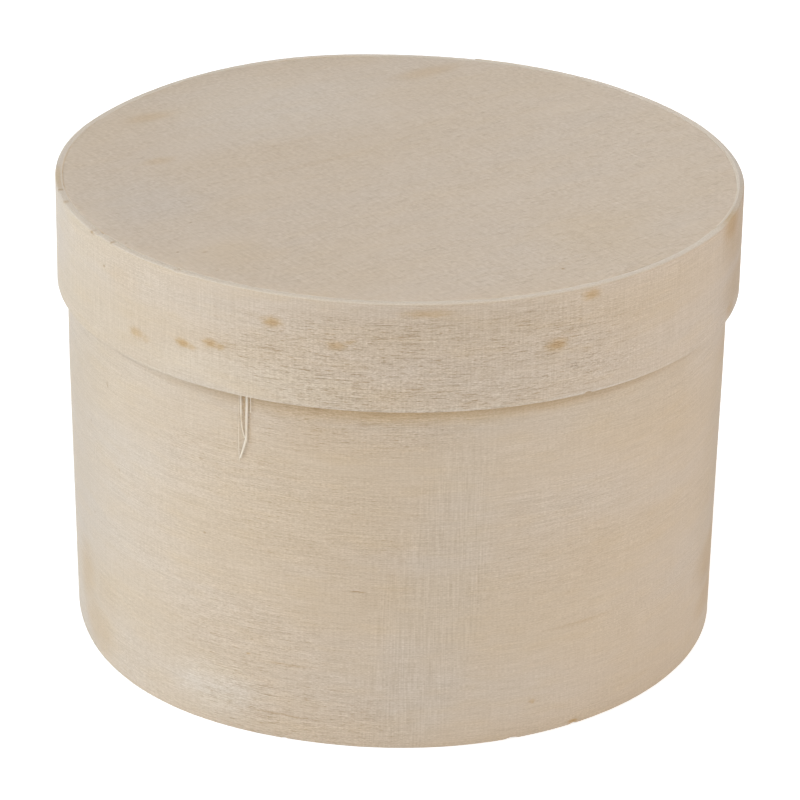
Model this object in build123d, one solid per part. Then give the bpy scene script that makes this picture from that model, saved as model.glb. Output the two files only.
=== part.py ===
from build123d import *
from dataclasses import dataclass
import math
import os

# A round box of thin bent veneer with a lift-off lid of the same make.
# Each half is a disc of wood with a strip of veneer bent round its edge. The strip's two ends are
# pared to a feather and glued over each other, so the lap is little thicker than the strip.
# Millimetres. The origin is on the axis at the base, +Z is up and the side that is seen faces -Y.
# Azimuths are in degrees from +X, and both laps are at the back, about +Y.

# The strips of veneer
BODY_OUTER_DIAMETER = 98.0
BODY_HEIGHT = 68.0
LID_STRIP_WIDTH = 16.0
VENEER_THICKNESS = 1.0

# The laps in which the strips close
BODY_LAP_LENGTH = 26.0
BODY_LAP_AZIMUTH = 97.0
LID_LAP_LENGTH = 22.0
LID_LAP_AZIMUTH = 64.0
FEATHER_THICKNESS = 0.15
STEP_LENGTH = 6.0
GLUE_FILM = 0.1

# The lid slides over the thickest part of the body's lap with this much room all round
LID_CLEARANCE = 0.35

# The two discs, flush with the outer edges of their strips, and the glue that holds them there
BOTTOM_THICKNESS = 2.0
LID_DISC_THICKNESS = 2.0
DISC_GAP = 0.15
BOTTOM_BEAD = 1.2
LID_BEAD = 0.15


def place(radius, azimuth):
    """The point at a radius and an azimuth."""
    angle = math.radians(azimuth)
    return Vector(radius * math.cos(angle), radius * math.sin(angle))


def climb(first, last):
    """An arc between two places, each a radius and an azimuth, through the one half-way."""
    middle = [(a + b) / 2 for a, b in zip(first, last)]
    return ThreePointArc(place(*first), place(*middle), place(*last))


@dataclass(frozen=True)
class Hoop:
    """A strip of veneer bent into a ring, whose pared outer end lies over its pared inner end."""

    inner_radius: float
    lap_length: float
    lap_azimuth: float

    @property
    def outer_radius(self):
        """The outside of a single thickness."""
        return self.inner_radius + VENEER_THICKNESS

    @property
    def lift(self):
        """How far the lap stands out from the rest of the ring."""
        return FEATHER_THICKNESS + GLUE_FILM

    def sweep(self, length):
        """The angle that a length takes up along the strip."""
        return math.degrees(length / (self.inner_radius + VENEER_THICKNESS / 2))

    @property
    def inner_end(self):
        """Where the strip starts, as a feather edge on the inside of the lap."""
        return self.lap_azimuth - self.sweep(self.lap_length) / 2

    @property
    def outer_end(self):
        """Where the strip stops, as a feather edge on the outside of the lap."""
        return self.lap_azimuth + self.sweep(self.lap_length) / 2

    def ring(self, radius, start, stop):
        """An arc about the axis, from one azimuth to another."""
        return CenterArc((0, 0), radius, start, stop - start)

    def strip(self):
        """The section of the whole strip, as seen from above."""
        inside, outside = self.inner_radius, self.outer_radius
        start, stop = self.inner_end, self.outer_end
        step = start - self.sweep(STEP_LENGTH)
        return make_face(
            [
                climb((inside + FEATHER_THICKNESS, start), (outside, stop)),
                self.ring(outside, stop, step + 360),
                climb((outside, step), (outside + self.lift, start)),
                self.ring(outside + self.lift, start, stop),
                Line(place(outside + self.lift, stop), place(outside + GLUE_FILM, stop)),
                climb((outside + GLUE_FILM, stop), (inside + self.lift, start)),
                climb((inside + self.lift, start), (inside, step)),
                self.ring(inside, step + 360, start),
                Line(place(inside, start), place(inside + FEATHER_THICKNESS, start)),
            ]
        )

    def glue(self):
        """The section of the film of glue between the two pared faces."""
        start, stop = self.inner_end, self.outer_end
        low, high = self.inner_radius + FEATHER_THICKNESS, self.outer_radius
        return make_face(
            [
                climb((low, start), (high, stop)),
                Line(place(high, stop), place(high + GLUE_FILM, stop)),
                climb((high + GLUE_FILM, stop), (low + GLUE_FILM, start)),
                Line(place(low + GLUE_FILM, start), place(low, start)),
            ]
        )


def raised(section, bottom, height):
    """A section drawn up from a level."""
    return Pos(0, 0, bottom) * extrude(section, height)


def disc(radius, bottom, thickness):
    """A flat round piece of wood."""
    return Pos(0, 0, bottom) * Cylinder(radius, thickness, align=(Align.CENTER, Align.CENTER, Align.MIN))


def disc_glue(wall_radius, outer_face, inner_face, bead):
    """The ring of glue round a disc, with a hollow bead in the corner at the disc's inner face."""
    edge_radius = wall_radius - DISC_GAP
    rise = math.copysign(bead, inner_face - outer_face)
    toe = Vector(edge_radius - bead, inner_face)
    heel = Vector(edge_radius, inner_face)
    head = Vector(wall_radius, inner_face + rise)
    hollow = Vector(edge_radius - bead / 4, inner_face + rise / 4)
    profile = make_face(
        [
            Polyline(toe, heel, Vector(edge_radius, outer_face), Vector(wall_radius, outer_face), head),
            ThreePointArc(head, hollow, toe),
        ]
    )
    return revolve(Plane.XZ * profile, Axis.Z)


# Sizes that follow from the ones above
body = Hoop(BODY_OUTER_DIAMETER / 2 - VENEER_THICKNESS, BODY_LAP_LENGTH, BODY_LAP_AZIMUTH)
lid = Hoop(body.outer_radius + body.lift + LID_CLEARANCE, LID_LAP_LENGTH, LID_LAP_AZIMUTH)
lid_disc_bottom = BODY_HEIGHT
top = lid_disc_bottom + LID_DISC_THICKNESS
lid_edge = top - LID_STRIP_WIDTH

pieces = {
    "body_strip": raised(body.strip(), 0, BODY_HEIGHT),
    "body_lap_glue": raised(body.glue(), 0, BODY_HEIGHT),
    "bottom_disc": disc(body.inner_radius - DISC_GAP, 0, BOTTOM_THICKNESS),
    "bottom_disc_glue": disc_glue(body.inner_radius, 0, BOTTOM_THICKNESS, BOTTOM_BEAD),
    "lid_strip": raised(lid.strip(), lid_edge, LID_STRIP_WIDTH),
    "lid_lap_glue": raised(lid.glue(), lid_edge, LID_STRIP_WIDTH),
    "lid_disc": disc(lid.inner_radius - DISC_GAP, lid_disc_bottom, LID_DISC_THICKNESS),
    "lid_disc_glue": disc_glue(lid.inner_radius, top, lid_disc_bottom, LID_BEAD),
}

os.makedirs("parts", exist_ok=True)
for name, piece in pieces.items():
    export_step(piece, f"parts/{name}.step")

# The flat lengths that the strips are cut to
for name, hoop in {"body_strip": body, "lid_strip": lid}.items():
    girth = 2 * math.pi * (hoop.inner_radius + VENEER_THICKNESS / 2)
    print(name, "is cut", round(girth + hoop.lap_length, 1), "mm long, lap included")
print("outer diameter of the lid", round(2 * lid.outer_radius, 2), "mm, height", round(top, 2), "mm")
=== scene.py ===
"""A round box of bent wood veneer and its lift-off lid, dressed over their construction model.

The box stands on the origin with its axis along +Z, and the side that the picture shows faces -Y.
The classes hold their sizes in millimetres, as a box maker would write them. Azimuths are in degrees
from +X, and heights are above the base.
"""

import logging
import math
from collections.abc import Callable, Sequence
from dataclasses import dataclass
from enum import Enum
from functools import cached_property, reduce

import bpy
from mathutils import Matrix, Vector, noise

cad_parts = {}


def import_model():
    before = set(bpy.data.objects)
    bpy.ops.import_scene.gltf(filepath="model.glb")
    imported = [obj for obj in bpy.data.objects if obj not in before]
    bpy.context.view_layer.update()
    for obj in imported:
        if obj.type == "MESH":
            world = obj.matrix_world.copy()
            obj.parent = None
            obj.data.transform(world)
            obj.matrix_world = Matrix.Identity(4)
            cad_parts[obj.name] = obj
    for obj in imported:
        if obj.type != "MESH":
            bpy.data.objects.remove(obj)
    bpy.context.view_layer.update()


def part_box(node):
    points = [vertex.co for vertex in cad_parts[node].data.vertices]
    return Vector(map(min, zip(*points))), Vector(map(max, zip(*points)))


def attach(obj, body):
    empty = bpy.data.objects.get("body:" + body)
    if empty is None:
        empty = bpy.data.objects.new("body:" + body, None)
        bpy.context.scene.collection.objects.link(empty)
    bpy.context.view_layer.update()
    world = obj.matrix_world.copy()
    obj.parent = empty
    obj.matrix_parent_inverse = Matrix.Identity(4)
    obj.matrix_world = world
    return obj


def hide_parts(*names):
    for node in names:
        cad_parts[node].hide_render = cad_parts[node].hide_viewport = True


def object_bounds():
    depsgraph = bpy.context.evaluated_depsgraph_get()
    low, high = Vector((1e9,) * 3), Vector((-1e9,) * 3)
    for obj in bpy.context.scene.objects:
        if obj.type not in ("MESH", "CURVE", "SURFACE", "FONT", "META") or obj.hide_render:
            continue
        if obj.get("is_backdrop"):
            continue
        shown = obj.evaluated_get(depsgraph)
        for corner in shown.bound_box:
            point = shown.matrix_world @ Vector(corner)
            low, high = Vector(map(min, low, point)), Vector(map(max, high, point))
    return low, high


LOG = logging.getLogger("cheese_box")

MM = 0.001
FRONT = 270.0
FULL_TURN = 360.0
UNROLLED_RADIUS = 50.0
CORNER_ANGLES = (30.0, 60.0, 90.0)
BEAD_ANGLES = (0.0, 22.5, 45.0, 67.5, 90.0)

Pair = tuple[float, float]
Colour = tuple[float, float, float]
Feeds = dict[str | int, object]
Lengths = Sequence[float]
Rows = Sequence[Lengths]
Radius = Callable[[float], float]
Socket = bpy.types.NodeSocket
Value = float | Socket
Piece = bpy.types.Object
Material = bpy.types.Material


class Half(Enum):
    """The two halves that come apart."""

    BOX = "box"
    LID = "lid"


class Slot(Enum):
    """The finishes that the box's record names."""

    BODY_VENEER = "body_veneer"
    LID_VENEER = "lid_veneer"
    LID_TOP_WOOD = "lid_top_wood"
    BOTTOM_WOOD = "bottom_wood"
    LAP_GLUE = "lap_glue"
    BEAD_GLUE = "bead_glue"


class Tone(Enum):
    """What a mark does to the wood's colour, as the share that it leaves of red, green and blue."""

    KNOT = (0.86, 0.71, 0.48)
    RUST = (0.90, 0.79, 0.61)
    BROWN = (0.84, 0.76, 0.64)
    PORE = (0.67, 0.54, 0.38)
    AMBER = (0.98, 0.88, 0.70)
    WARM = (0.98, 0.945, 0.86)
    # A plain darkening, used as painted shade down the sides of the body and lid.
    PAINTED_SHADE = (0.84, 0.84, 0.86)
    GREY = (0.97, 1.00, 1.05)
    PALE = (1.06, 1.10, 1.15)


def around(azimuth: float) -> float:
    """The place along an unrolled strip of an azimuth, in millimetres from the front."""
    return math.radians(azimuth - FRONT) * UNROLLED_RADIUS


def unrolled(azimuth: float, height: float) -> Pair:
    """The place of a point of a hoop on its unrolled strip: along the grain and across it."""
    return around(azimuth), height


def polar(radius: float, azimuth: float, height: float) -> Vector:
    """The point at a radius, an azimuth and a height, in millimetres."""
    angle = math.radians(azimuth)
    return Vector((radius * math.cos(angle), radius * math.sin(angle), height))


def between(value: float, low: float, high: float) -> float:
    """How far a value has come from low to high, as a share from 0 to 1."""
    return min(1.0, max(0.0, (value - low) / (high - low)))


def rounding(size: float, angles: Sequence[float]) -> list[Pair]:
    """A corner rounded to a size: how far its points at some angles lie from the one face and the other."""
    turns = [math.radians(angle) for angle in angles]
    return [(size * (1 - math.sin(turn)), size * (1 - math.cos(turn))) for turn in turns]


@dataclass(frozen=True)
class Ripple:
    """A smooth unevenness that comes out the same each time.

    Attributes:
        height: Most that it lifts or lowers.
        length: Distance between its swells over the ground.
        rise: Distance between its swells up the axis.
        seed: Which pattern it takes.
    """

    height: float
    length: float
    rise: float
    seed: float

    def at(self, point: Vector) -> float:
        """The unevenness at a point, in millimetres."""
        place = Vector((point.x / self.length, point.y / self.length, point.z / self.rise + self.seed))
        return self.height * noise.noise(place)


@dataclass(frozen=True)
class Nick:
    """A place where the edge of a strip is broken out.

    Attributes:
        azimuth: Its middle.
        width: Its length along the edge.
        depth: How far it goes into the strip.
        upper: Whether it is in the upper edge.
    """

    azimuth: float
    width: float
    depth: float
    upper: bool = False

    def cut(self, azimuth: float) -> float:
        """How deep the nick is at an azimuth, in millimetres."""
        off = abs(around(azimuth) - around(self.azimuth)) / (self.width / 2)
        return self.depth * max(0.0, 1 - off**2)


class Nodes:
    """Writes the nodes of one material or of the world, with a short call for each."""

    FLECK_TINT = (0.84, 1.0, 1.28)

    def __init__(self, owner: Material | bpy.types.World) -> None:
        """Starts without nodes.

        Args:
            owner: What the nodes are for.
        """
        owner.use_nodes = True
        self.owner = owner
        self.tree = owner.node_tree
        self.tree.nodes.clear()

    def add(self, kind: str, feeds: Feeds | None = None, **settings: object) -> bpy.types.Node:
        """Adds a node.

        Args:
            kind: The node's type, without its leading ShaderNode.
            feeds: What goes into its sockets, by name or number: a value, or another node's output.
            settings: Its own settings.

        Returns:
            The node.
        """
        node = self.tree.nodes.new("ShaderNode" + kind)
        for key, setting in settings.items():
            setattr(node, key, setting)
        for key, feed in (feeds or {}).items():
            if isinstance(feed, Socket):
                self.tree.links.new(feed, node.inputs[key])
            else:
                node.inputs[key].default_value = feed
        return node

    def maths(self, operation: str, first: Value, second: Value = 0.0) -> Socket:
        """Works out one sum of one or two values."""
        return self.add("Math", {0: first, 1: second}, operation=operation).outputs[0]

    def times(self, first: Value, second: Value) -> Socket:
        """Multiplies two values."""
        return self.maths("MULTIPLY", first, second)

    @cached_property
    def place(self) -> Socket:
        """The place in the wood: along its grain, across it and into it, in metres."""
        return self.add("Attribute", attribute_name="grain").outputs["Vector"]

    def seen_from(self, place: Socket, start: Lengths, size: Lengths, turn: float) -> Socket:
        """Measures a place from a start in units of a size, along axes turned by an angle."""
        feeds = {"Vector": place, "Location": start, "Scale": size, "Rotation": (0.0, 0.0, turn)}
        return self.add("Mapping", feeds, vector_type="TEXTURE").outputs[0]

    def cloud(self, sizes: Lengths, seed: float, detail: float = 2.0, roughness: float = 0.5) -> Socket:
        """Lays a cloudy pattern into the wood.

        Args:
            sizes: Length of its swells along the grain, across it and into it, in millimetres.
            seed: How far into the pattern the piece starts, so that two pieces differ.
            detail: How many finer patterns lie over it.
            roughness: How strong those are.

        Returns:
            The pattern, as a value about 0.5.
        """
        own = self.seen_from(self.place, (seed,) * 3, [size * MM for size in sizes], 0.0)
        feeds = {"Vector": own, "Scale": 1.0, "Detail": detail, "Roughness": roughness}
        return self.add("TexNoise", feeds).outputs[0]

    def window(self, value: Value, low: float, high: float) -> Socket:
        """Rises smoothly from 0 to 1 while a value goes from low to high."""
        feeds = {"Value": value, "From Min": low, "From Max": high}
        return self.add("MapRange", feeds, interpolation_type="SMOOTHSTEP").outputs[0]

    def spread(self, value: Value, low: float, high: float) -> Socket:
        """Turns 0 to 1 into low to high."""
        return self.add("MapRange", {"Value": value, "To Min": low, "To Max": high}, clamp=False).outputs[0]

    def weighed(self, pattern: Socket, weight: Value) -> Socket:
        """Makes a pattern about 0.5 stronger or weaker."""
        return self.maths("ADD", self.times(self.maths("SUBTRACT", pattern, 0.5), weight), 0.5)

    def mix(self, share: Value, first: object, second: object) -> Socket:
        """Goes from a first colour to a second by a share."""
        return self.add("Mix", {0: share, 6: first, 7: second}, data_type="RGBA").outputs[2]

    def plain(self, colour: Colour) -> Socket:
        """A colour that is the same all over."""
        return self.mix(0.0, (*colour, 1.0), (*colour, 1.0))

    def multiplied(self, colour: Socket, factor: object, share: Value = 1.0) -> Socket:
        """Multiplies a colour by another, as far as a share says."""
        feeds = {0: share, 6: colour, 7: factor}
        return self.add("Mix", feeds, data_type="RGBA", blend_type="MULTIPLY", clamp_result=False).outputs[2]

    def tinted(self, colour: Socket, tone: Tone, share: Value) -> Socket:
        """Gives a colour a tone, as far as a share says."""
        return self.multiplied(colour, (*tone.value, 1.0), share)

    def flecked(self, colour: Socket, fleck: Socket, strength: float) -> Socket:
        """Lightens and darkens a colour by a pattern about 0.5, and the dark flecks a little warmer.

        Args:
            colour: The colour so far.
            fleck: The pattern.
            strength: Share of the colour that the whole range of the pattern covers.

        Returns:
            The colour with its flecks.
        """
        shares = [strength * weight / 2 for weight in self.FLECK_TINT]
        dark = (*(1 - share for share in shares), 1.0)
        light = (*(1 + share for share in shares), 1.0)
        return self.multiplied(colour, self.mix(fleck, dark, light))

    def cut_edge(self) -> Socket:
        """Tells a strip's cut edges from its faces.

        Returns:
            1 on what faces straight up or down, and 0 on what faces sideways.
        """
        normal = self.add("NewGeometry").outputs["Normal"]
        upright = self.add("SeparateXYZ", {0: normal}).outputs["Z"]
        return self.window(self.maths("ABSOLUTE", upright), 0.25, 0.75)

    def surface(self, height: Socket, relief: float, smooth: Value, feeds: Feeds) -> Material:
        """Ends a material with an uneven surface.

        Args:
            height: The pattern of its unevenness.
            relief: How high that is.
            smooth: Share of it that is left.
            feeds: What else the shader takes.

        Returns:
            The material.
        """
        bump = self.add("Bump", {"Height": height, "Strength": smooth, "Distance": relief * MM})
        shader = self.add("BsdfPrincipled", {**feeds, "Normal": bump.outputs[0]})
        return self.finish("OutputMaterial", shader)

    def finish(self, kind: str, shader: bpy.types.Node) -> Material | bpy.types.World:
        """Joins a shader to the output of its kind, and returns what the nodes are for."""
        self.add(kind, {"Surface": shader.outputs[0]})
        return self.owner


@dataclass(frozen=True)
class Mark:
    """A knot, stain or streak in the wood, or a patch of painted shade, sheen or highlight.

    Attributes:
        along: Its middle along the grain.
        across: Its middle across the grain.
        length: Its reach along the grain, from the middle to where it ends.
        breadth: Its reach across the grain.
        tone: What it does to the colour.
        strength: How much of the tone it takes, from 0 to 1.
        core: Share of its reach over which it is at its strongest.
        lean: Degrees that it is turned off the grain.
    """

    along: float
    across: float
    length: float
    breadth: float
    tone: Tone = Tone.KNOT
    strength: float = 1.0
    core: float = 0.15
    lean: float = 0.0

    def mask(self, nodes: Nodes, place: Socket) -> Socket:
        """How strong the mark is at a place.

        Args:
            nodes: The material's nodes.
            place: The place in the wood.

        Returns:
            A value from 0 to the mark's strength.
        """
        middle = (self.along * MM, self.across * MM, 0.0)
        size = (self.length * MM, self.breadth * MM, 1.0)
        own = nodes.seen_from(place, middle, size, math.radians(self.lean))
        off = nodes.add("VectorMath", {0: own}, operation="LENGTH").outputs["Value"]
        return nodes.times(nodes.window(off, 1.0, self.core), self.strength)


def strongest(nodes: Nodes, place: Socket, marks: Sequence[Mark]) -> Value:
    """The strongest of some marks at a place, from 0 to 1, and 0 where there are none."""
    masks = [mark.mask(nodes, place) for mark in marks]
    return reduce(lambda one, other: nodes.maths("MAXIMUM", one, other), masks, 0.0)


def inside(nodes: Nodes, zones: Sequence[Mark]) -> Value:
    """How far the wood lies inside any of some zones, from 0 to 1, and 1 where there are none."""
    return strongest(nodes, nodes.place, zones) if zones else 1.0


def lay_marks(nodes: Nodes, colour: Socket, marks: Sequence[Mark], seed: float) -> Socket:
    """Lays marks over a colour, on the outside of a strip but not on its inside.

    Args:
        nodes: The material's nodes.
        colour: The colour so far.
        marks: The marks.
        seed: Which wandering their outlines take.

    Returns:
        The colour with its marks.
    """
    wander = nodes.cloud((1.3, 0.5, 5.0), seed).node.outputs["Color"]
    reach = (1.4 * MM, 0.6 * MM, 0.0)
    deep, shallow = -0.75 * MM, -0.55 * MM
    shift = nodes.add("VectorMath", {0: wander, 1: (0.5, 0.5, 0.5)}, operation="SUBTRACT").outputs[0]
    moved = nodes.add("VectorMath", {0: shift, 1: reach, 2: nodes.place}, operation="MULTIPLY_ADD").outputs[0]
    outside = nodes.window(nodes.add("SeparateXYZ", {0: nodes.place}).outputs["Z"], deep, shallow)
    for tone in Tone:
        alike = [mark for mark in marks if mark.tone is tone]
        if alike:
            share = nodes.times(strongest(nodes, moved, alike), outside)
            colour = nodes.tinted(colour, tone, share)
    return colour


def listed(where: Callable[[float, float], Pair], tones: dict[Tone, Rows]) -> tuple[Mark, ...]:
    """Reads marks from a list by tone.

    Args:
        where: Turns the first two numbers of a mark into its place along and across the grain.
        tones: The marks of each tone: place, reach along and across the grain, strength, core, lean.

    Returns:
        The marks.
    """
    marks = []
    for tone, rows in tones.items():
        marks += [Mark(*where(*row[:2]), *row[2:4], tone, *row[4:]) for row in rows]
    return tuple(marks)


def knot(azimuth: float, height: float, strength: float, length: float, tail: float) -> tuple[Mark, ...]:
    """A small knot: a soft rusty halo, a brown heart and, in some, a second halo to its lower right.

    Args:
        azimuth: Where on the strip.
        height: At what level.
        strength: How dark it is.
        length: Its reach along the grain.
        tail: Strength of the second halo, and 0 for none.

    Returns:
        Its marks.
    """
    along = around(azimuth)
    marks = (
        Mark(along, height, length, 0.55 * length, Tone.RUST, strength, core=0.25),
        Mark(along, height, 0.65 * length, 0.33 * length, Tone.KNOT, 0.5 * strength, core=0.0),
    )
    if not tail:
        return marks
    return (*marks, Mark(along + 0.8 * length, height - 0.25, 0.7 * length, 0.4 * length, Tone.RUST, tail))


@dataclass(frozen=True)
class Finish:
    """What every finish has.

    Attributes:
        name: What the material is called.
        colour: Its linear red, green and blue.
        seed: Which part of the patterns it takes.
        marks: Its knots and stains, and patches of painted shade, sheen and highlight.
        roughness: How dull it is.
        relief: Height of its unevenness.
    """

    name: str
    colour: Colour
    seed: float
    marks: tuple[Mark, ...] = ()
    roughness: float = 0.55
    relief: float = 0.03


@dataclass(frozen=True)
class RawWood(Finish):
    """Unsanded peeled wood with its pores, fibres, knife lines and marks.

    Attributes:
        fleck: Strength of the fine light and dark flecks.
        fleck_size: Length of a fleck along the grain and across it.
        pore_length: Length of the usual pore.
        pore_depth: How much darker a pore is.
        crack_depth: How much darker the long, rare pores are.
        knife: Strength of the peeling knife's fine lines across the grain.
        fuzz: Strength of the long fibres.
        drift: Strength of the slow change between warm and cool.
        open_zones: Where the pores are, if not everywhere.
        combed_zones: Where the knife's lines stand out, if not everywhere.
        cut: Whether it has cut edges that face up and down.
        rough_range: How much its roughness varies up and down.
        shine: How strongly its surface mirrors, where 0.5 is a varnish.
    """

    fleck: float = 0.38
    fleck_size: Pair = (0.45, 0.12)
    pore_length: float = 1.5
    pore_depth: float = 0.6
    crack_depth: float = 0.7
    knife: float = 0.5
    fuzz: float = 1.3
    drift: float = 0.45
    open_zones: tuple[Mark, ...] = ()
    combed_zones: tuple[Mark, ...] = ()
    cut: bool = False
    rough_range: float = 0.06
    shine: float = 0.25

    def pores(self, nodes: Nodes, region: Socket, zone: Value) -> tuple[Socket, Socket]:
        """The dark pores along the grain.

        Args:
            nodes: The material's nodes.
            region: The pattern of where pores are dense.
            zone: How far the place is inside the open zones.

        Returns:
            The short dashes, and the longer and rarer ones.
        """
        short = nodes.cloud((self.pore_length, 0.11, 1.0), self.seed, roughness=0.55)
        long = nodes.cloud((3.8, 0.16, 1.0), self.seed + 1, roughness=0.55)
        dense = nodes.times(nodes.window(region, 0.22, 0.46), zone)
        dashes = nodes.times(nodes.window(short, 0.56, 0.68), nodes.spread(dense, 0.12, 1.0))
        return dashes, nodes.times(nodes.window(long, 0.60, 0.70), dense)

    def grained(self, nodes: Nodes, even: Socket, fibre: Socket, knife: Socket) -> Socket:
        """The wood's colour between its pores.

        Args:
            nodes: The material's nodes.
            even: How strong the fine flecks are from place to place.
            fibre: The pattern of the long fibres.
            knife: The pattern of the lines across the grain.

        Returns:
            The colour.
        """
        slow = nodes.cloud((38.0, 11.0, 9.0), self.seed + 5)
        mottle = nodes.cloud((9.0, 2.2, 2.0), self.seed + 6, 3.0, 0.6)
        grains = nodes.cloud((*self.fleck_size, 1.0), self.seed + 8, 1.0)
        combed = nodes.spread(inside(nodes, self.combed_zones), 0.3, 1.0)
        warm = nodes.times(nodes.window(slow, 0.40, 0.70), self.drift)
        cool = nodes.times(nodes.window(slow, 0.50, 0.28), self.drift)
        patches = nodes.times(nodes.window(mottle, 0.45, 0.70), 0.8 * self.drift)
        colour = nodes.plain(self.colour)
        for tone, share in ((Tone.WARM, warm), (Tone.GREY, cool), (Tone.WARM, patches)):
            colour = nodes.tinted(colour, tone, share)
        colour = nodes.flecked(colour, mottle, 0.16 * self.drift)
        colour = nodes.flecked(colour, nodes.weighed(fibre, even), 0.2 * self.fuzz)
        colour = nodes.flecked(colour, nodes.weighed(knife, combed), 0.5 * self.knife)
        return nodes.flecked(colour, nodes.weighed(grains, even), self.fleck)

    def sawn(self, nodes: Nodes, colour: Socket) -> Socket:
        """Makes the cut edges paler, with fine dark specks.

        Args:
            nodes: The material's nodes.
            colour: The wood so far.

        Returns:
            The wood with its cut edges.
        """
        specks = nodes.cloud((0.35, 0.3, 0.2), self.seed + 9, roughness=0.6)
        pale = [part * tone for part, tone in zip(self.colour, Tone.PALE.value)]
        return nodes.mix(nodes.cut_edge(), colour, nodes.flecked(nodes.plain(pale), specks, 0.5))

    def material(self) -> Material:
        """Writes the finish.

        Returns:
            The material.
        """
        nodes = Nodes(bpy.data.materials.new(self.name))
        region = nodes.cloud((26.0, 7.0, 9.0), self.seed + 2, 1.0)
        fibre = nodes.cloud((5.0, 0.13, 0.4), self.seed + 3, roughness=0.65)
        knife = nodes.cloud((0.25, 7.0, 2.0), self.seed + 4, roughness=0.6)
        zone = inside(nodes, self.open_zones)
        even = nodes.spread(nodes.window(region, 0.3, 0.7), 0.8, 1.15)
        if self.open_zones:
            even = nodes.times(even, nodes.spread(zone, 0.85, 1.3))
        dashes, cracks = self.pores(nodes, region, zone)
        colour = self.grained(nodes, even, fibre, knife)
        colour = nodes.tinted(colour, Tone.PORE, nodes.times(dashes, self.pore_depth))
        colour = nodes.tinted(colour, Tone.PORE, nodes.times(cracks, self.crack_depth))
        if self.cut:
            colour = self.sawn(nodes, colour)
        colour = lay_marks(nodes, colour, self.marks, self.seed + 7)

        height = nodes.maths("SUBTRACT", nodes.times(dashes, -0.5), cracks)
        for pattern, share in ((fibre, 0.6), (knife, self.knife)):
            height = nodes.maths("ADD", height, nodes.times(pattern, share))
        smooth = nodes.spread(nodes.cut_edge(), 1.0, 0.2) if self.cut else 1.0
        dull = nodes.spread(fibre, self.roughness - self.rough_range, self.roughness + self.rough_range)
        feeds = {"Base Color": colour, "Roughness": dull, "Specular IOR Level": self.shine}
        return nodes.surface(height, self.relief, smooth, feeds)


@dataclass(frozen=True)
class DriedGlue(Finish):
    """Dried glue, milky and a little glossy.

    Attributes:
        milkiness: Share of the light that goes into it.
        reach: How far red, green and blue light go into it.
    """

    roughness: float = 0.42
    relief: float = 0.08
    milkiness: float = 0.15
    reach: Colour = (0.6, 0.5, 0.35)

    def material(self) -> Material:
        """Writes the finish.

        Returns:
            The material.
        """
        nodes = Nodes(bpy.data.materials.new(self.name))
        lumps = nodes.cloud((1.4, 1.4, 1.4), self.seed, 3.0)
        stains = nodes.window(nodes.cloud((5.0, 3.0, 3.0), self.seed + 1), 0.5, 0.75)
        colour = nodes.tinted(nodes.plain(self.colour), Tone.BROWN, stains)
        feeds = {
            "Base Color": lay_marks(nodes, colour, self.marks, self.seed + 2),
            "Roughness": nodes.spread(lumps, self.roughness, self.roughness + 0.15),
            "Subsurface Weight": self.milkiness,
            "Subsurface Radius": [part * MM for part in self.reach],
        }
        return nodes.surface(lumps, self.relief, 1.0, feeds)


class Skin:
    """Gathers the points and faces of one mesh, with each point's place in the grain."""

    SHARP_ANGLE = 50.0

    def __init__(self, name: str) -> None:
        """Starts an empty mesh.

        Args:
            name: What the mesh and its object are called.
        """
        self.name = name
        self.points: list[Vector] = []
        self.places: list[Vector] = []
        self.faces: list[tuple[int, ...]] = []

    def point(self, point: Vector, place: Vector) -> int:
        """Adds a point.

        Args:
            point: Where it is, in millimetres.
            place: Where it is in the grain.

        Returns:
            Its number.
        """
        self.points.append(point * MM)
        self.places.append(place * MM)
        return len(self.points) - 1

    def join(self, first: Sequence[int], second: Sequence[int]) -> None:
        """Fills the band between two rings of as many points with quads."""
        self.faces += zip(first, [*first[1:], first[0]], [*second[1:], second[0]], second)

    def tube(self, rings: Sequence[Sequence[int]]) -> None:
        """Fills the bands between a row of rings."""
        for one, other in zip(rings, rings[1:]):
            self.join(one, other)

    def built(self) -> Piece:
        """Makes the object.

        Returns:
            The object, at the origin of the frame.
        """
        mesh = bpy.data.meshes.new(self.name)
        mesh.from_pydata(self.points, [], self.faces)
        attribute = mesh.attributes.new("grain", "FLOAT_VECTOR", "POINT")
        attribute.data.foreach_set("vector", [part for place in self.places for part in place])
        mesh.shade_smooth()
        mesh.set_sharp_from_angle(angle=math.radians(self.SHARP_ANGLE))
        mesh.validate()
        mesh.update()
        piece = bpy.data.objects.new(self.name, mesh)
        bpy.context.scene.collection.objects.link(piece)
        return piece


@dataclass(frozen=True)
class Push:
    """A place where a wall stands out of its true round.

    Attributes:
        azimuth: Where it stands out most.
        spread: Degrees from there to where it is true again.
        low: How far it stands out at the low level.
        high: How far it stands out at the high level.
    """

    azimuth: float
    spread: float
    low: float
    high: float

    def at(self, azimuth: float, share: float) -> float:
        """How far the wall stands out at a place.

        Args:
            azimuth: Where on the ring.
            share: How far up between the two levels, from 0 to 1.

        Returns:
            The offset in millimetres.
        """
        off = abs((azimuth - self.azimuth + FULL_TURN / 2) % FULL_TURN - FULL_TURN / 2)
        most = self.low + (self.high - self.low) * share
        return most * (0.5 + 0.5 * math.cos(math.pi * min(1.0, off / self.spread)))


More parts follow.
